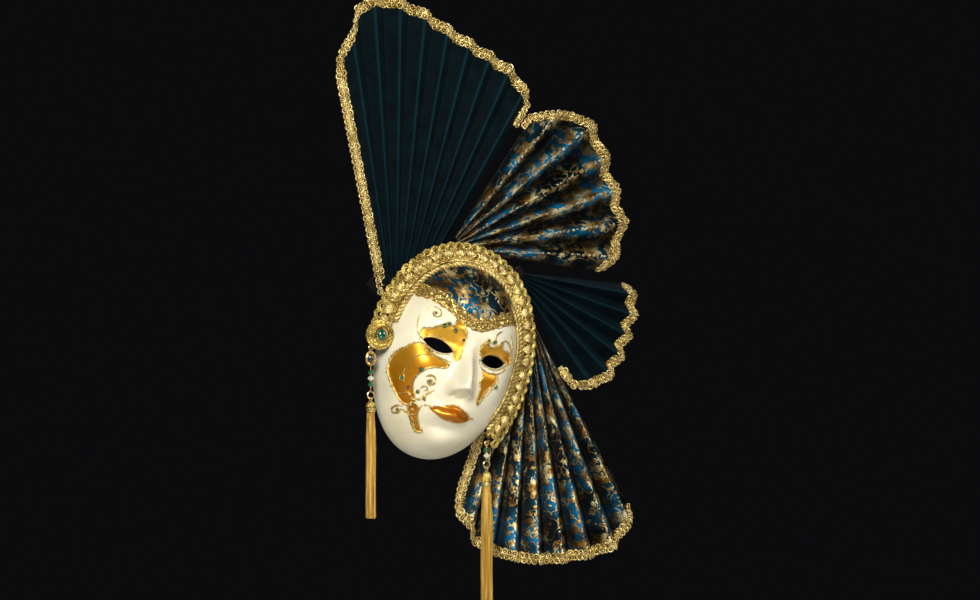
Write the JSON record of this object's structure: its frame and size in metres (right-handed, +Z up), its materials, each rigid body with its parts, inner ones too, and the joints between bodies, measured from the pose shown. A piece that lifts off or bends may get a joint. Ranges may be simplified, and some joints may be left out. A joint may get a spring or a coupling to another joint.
{
  "type": "venetian masquerade mask",
  "caption": "Wall-hung full-face masquerade mask in white and gilt papier-mache, with pleated velvet and brocade fans, a gold braid halo and swinging tassel drops.",
  "frame": {"origin": "point on the flat back of the mounting board, near the top of the head", "axes": "+Z up, -Y is the way the face looks, +Y into the wall, +X to the right of someone looking at the face"},
  "size_m": [0.3486, 0.1268, 0.624],
  "materials": {
    "papier_mache": "painted white, satin, with gilt paint",
    "gold_crackle": "gilt crackled stucco",
    "gold_braid": "metallic gold gimp and cord",
    "gold_thread": "yellow-gold viscose thread",
    "gilt_metal": "gilt",
    "dark_velvet": "pleated velvet",
    "blue_brocade": "blue brocade with gold and copper flowers",
    "card": "stiff board",
    "steel": "zinc plated",
    "green_glass": "faceted or domed",
    "dark_glass": "domed",
    "pearl_bead": "pearl"
  },
  "bodies": {
    "mask": {"brow_stone_1": "green_glass", "brow_stone_2": "green_glass", "brow_stone_3": "green_glass", "cheek_stone_1": "green_glass", "cheek_stone_2": "green_glass", "cheek_stone_3": "green_glass", "cheek_stone_4": "green_glass", "crackle_band": "gold_crackle", "face_shell": "papier_mache", "forehead_brocade": "blue_brocade", "hanger_plate": "steel", "hanger_screw_1": "steel", "hanger_screw_2": "steel", "head_braid": "gold_braid", "head_collar": "card", "inner_cord": "gold_braid", "left_hang_pin": "gilt_metal", "lower_fan_leaf": "blue_brocade", "lower_fan_root_strip": "card", "lower_fan_side_trim": "gold_braid", "lower_fan_trim": "gold_braid", "middle_fan_leaf": "blue_brocade", "middle_fan_root_strip": "card", "middle_fan_trim": "gold_braid", "mounting_board": "card", "right_fan_leaf": "dark_velvet", "right_fan_root_strip": "card", "right_fan_side_trim": "gold_braid", "right_fan_trim": "gold_braid", "right_hang_pin": "gilt_metal", "rosette_cabochon": "green_glass", "rosette_coil": "gold_braid", "rosette_setting": "gilt_metal", "twisted_cord": "gold_braid", "upper_fan_leaf": "dark_velvet", "upper_fan_root_strip": "card", "upper_fan_side_trim": "gold_braid", "upper_fan_trim": "gold_braid"},
    "left_strand": {"left_bead_1": "green_glass", "left_bead_2": "pearl_bead", "left_bead_3": "green_glass", "left_link": "gilt_metal", "left_stud_stone": "dark_glass"},
    "left_tassel": {"left_tassel_head": "gilt_metal", "left_tassel_neck": "gold_braid", "left_tassel_skirt": "gold_thread"},
    "right_strand": {"right_bead_1": "green_glass", "right_bead_2": "pearl_bead", "right_link": "gilt_metal"},
    "right_tassel": {"right_tassel_head": "gilt_metal", "right_tassel_neck": "gold_braid", "right_tassel_skirt": "gold_thread"},
    "hanging_ring": {"hanger_ring": "steel"}
  },
  "joints": [
    {"name": "left_strand_swing", "type": "hinge", "parent": "mask", "child": "left_strand", "pos_m": [-0.133, -0.06, -0.088], "axis": [0, 1, 0], "range_deg": [-8, 45]},
    {"name": "left_tassel_swing", "type": "hinge", "parent": "left_strand", "child": "left_tassel", "pos_m": [-0.133, -0.06, -0.1396], "axis": [1, 0, 0], "range_deg": [-45, 25]},
    {"name": "right_strand_swing", "type": "hinge", "parent": "mask", "child": "right_strand", "pos_m": [-0.004, -0.06, -0.187], "axis": [0, 1, 0], "range_deg": [-30, 30]},
    {"name": "right_tassel_swing", "type": "hinge", "parent": "right_strand", "child": "right_tassel", "pos_m": [-0.004, -0.06, -0.2126], "axis": [1, 0, 0], "range_deg": [-45, 4]},
    {"name": "hanging_ring_swing", "type": "hinge", "parent": "mask", "child": "hanging_ring", "pos_m": [-0.033, 0.0034, 0.012], "axis": [1, 0, 0], "range_deg": [0, 165]}
  ]
}
